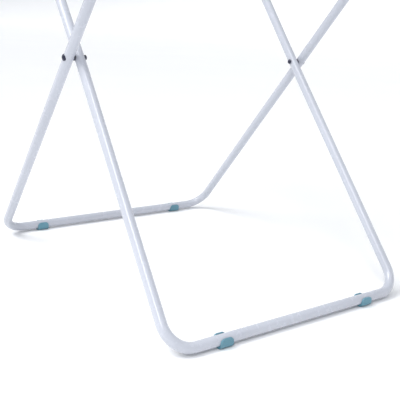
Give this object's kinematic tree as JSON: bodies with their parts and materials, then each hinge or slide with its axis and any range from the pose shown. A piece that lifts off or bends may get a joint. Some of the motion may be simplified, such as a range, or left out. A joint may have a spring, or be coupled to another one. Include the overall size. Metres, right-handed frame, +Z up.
{
  "type": "clothes drying rack",
  "caption": "Folding clothes airer: crossed U-shaped tube legs with plastic foot clips, a rod frame on top and two folding wings propped by wire stays",
  "frame": {"origin": "on the floor, below the middle of the rack", "axes": "+X runs along the length toward the wing over the outer leg, +Y across the width toward the back, +Z up"},
  "size_m": [1.6976, 0.58, 0.914],
  "materials": {
    "coated_tube": "satin light grey powder coat on thin steel tube",
    "coated_wire": "satin light grey coat on steel wire",
    "teal_plastic": "moulded teal plastic with a fine grain",
    "dark_bolt": "dark blue-black coated steel",
    "dark_spacer": "dark plastic",
    "bright_rivet": "zinc plated steel"
  },
  "bodies": {
    "outer_leg": {"outer_leg_tube": "coated_tube", "outer_foot_clip_front": "teal_plastic", "outer_foot_clip_back": "teal_plastic", "pivot_bolt_front": "dark_bolt", "pivot_bolt_back": "dark_bolt", "pivot_spacer_front": "dark_spacer", "pivot_spacer_back": "dark_spacer", "pivot_nut_front": "dark_bolt", "pivot_nut_back": "dark_bolt", "leg_eye_front": "teal_plastic", "leg_eye_back": "teal_plastic", "right_stay_hook_front": "teal_plastic", "right_stay_hook_back": "teal_plastic"},
    "inner_leg": {"inner_leg_tube": "coated_tube", "inner_foot_clip_front": "teal_plastic", "inner_foot_clip_back": "teal_plastic", "leg_snap_clip_front": "teal_plastic", "leg_snap_clip_back": "teal_plastic", "left_stay_hook_front": "teal_plastic", "left_stay_hook_back": "teal_plastic"},
    "centre_frame": {"frame_cross_tube_left": "coated_tube", "frame_cross_tube_right": "coated_tube", "frame_rail_front": "coated_tube", "frame_rail_back": "coated_tube", "frame_rods": "coated_wire", "frame_rod_tie_left": "coated_wire", "frame_rod_tie_right": "coated_wire", "corner_block_left_front": "teal_plastic", "corner_block_left_back": "teal_plastic", "corner_block_right_front": "teal_plastic", "corner_block_right_back": "teal_plastic", "left_wing_pin_front": "bright_rivet", "left_wing_pin_back": "bright_rivet", "right_wing_pin_front": "bright_rivet", "right_wing_pin_back": "bright_rivet"},
    "left_wing": {"left_wing_tube": "coated_tube", "left_wing_cross_tube": "coated_tube", "left_wing_brace": "coated_wire", "left_wing_rods": "coated_wire", "left_wing_knuckle_front": "teal_plastic", "left_wing_knuckle_back": "teal_plastic"},
    "left_stay": {"left_stay_wire": "coated_wire", "left_stay_collar_front": "teal_plastic", "left_stay_collar_back": "teal_plastic"},
    "right_wing": {"right_wing_tube": "coated_tube", "right_wing_cross_tube": "coated_tube", "right_wing_brace": "coated_wire", "right_wing_rods": "coated_wire", "right_wing_knuckle_front": "teal_plastic", "right_wing_knuckle_back": "teal_plastic"},
    "right_stay": {"right_stay_wire": "coated_wire", "right_stay_collar_front": "teal_plastic", "right_stay_collar_back": "teal_plastic"}
  },
  "joints": [
    {"name": "leg_fold", "type": "hinge", "parent": "outer_leg", "child": "inner_leg", "pos_m": [0, 0, 0.39], "axis": [0, 1, 0], "range_deg": [0, 75.95]},
    {"name": "frame_fold", "type": "hinge", "parent": "outer_leg", "child": "centre_frame", "pos_m": [0.40467, 0, 0.88], "axis": [0, -1, 0], "range_deg": [0, 49.17]},
    {"name": "right_wing_fold", "type": "hinge", "parent": "centre_frame", "child": "right_wing", "pos_m": [0.42867, 0, 0.906], "axis": [0, -1, 0], "range_deg": [0, 180]},
    {"name": "left_wing_fold", "type": "hinge", "parent": "centre_frame", "child": "left_wing", "pos_m": [-0.42867, 0, 0.906], "axis": [0, 1, 0], "range_deg": [0, 180]},
    {"name": "right_stay_fold", "type": "hinge", "parent": "right_wing", "child": "right_stay", "pos_m": [0.65867, 0, 0.8735], "axis": [0, 1, 0], "range_deg": [0, 17.77]},
    {"name": "left_stay_fold", "type": "hinge", "parent": "left_wing", "child": "left_stay", "pos_m": [-0.65867, 0, 0.8735], "axis": [0, -1, 0], "range_deg": [0, 17.77]}
  ],
  "couplings": [
    {"joint": "frame_fold", "follows": "leg_fold", "ratio": 0.64741},
    {"joint": "right_stay_fold", "follows": "right_wing_fold", "ratio": 0.098722},
    {"joint": "left_stay_fold", "follows": "left_wing_fold", "ratio": 0.098722}
  ]
}
